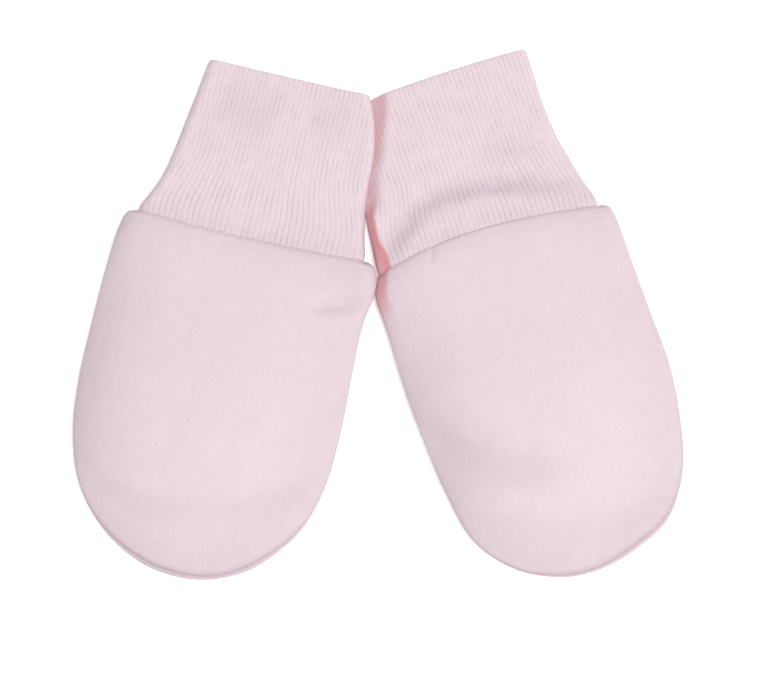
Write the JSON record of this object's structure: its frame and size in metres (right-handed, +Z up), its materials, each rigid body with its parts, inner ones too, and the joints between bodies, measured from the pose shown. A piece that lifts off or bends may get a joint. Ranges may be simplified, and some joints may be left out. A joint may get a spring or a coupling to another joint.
{
  "type": "pair of baby scratch mittens",
  "caption": "Pair of thumbless baby scratch mittens in soft knitted cotton with ribbed turned-back wrist cuffs, laid flat side by side.",
  "frame": {"origin": "on the surface that the pair lies on, under the middle of the pair's box", "axes": "+X across the pair, from the left mitten to the right one; +Y from the fingertips towards the cuffs; +Z up from the surface"},
  "size_m": [0.1634, 0.1458, 0.0067],
  "materials": {
    "body_knit": "matt, softly napped fine cotton knit, pale pink",
    "cuff_rib": "matt fine cotton rib knit, pale pink"
  },
  "bodies": {
    "root": {"left_front": "body_knit", "left_back": "body_knit", "left_cuff": "cuff_rib", "right_front": "body_knit", "right_back": "body_knit", "right_cuff": "cuff_rib"}
  },
  "joints": []
}
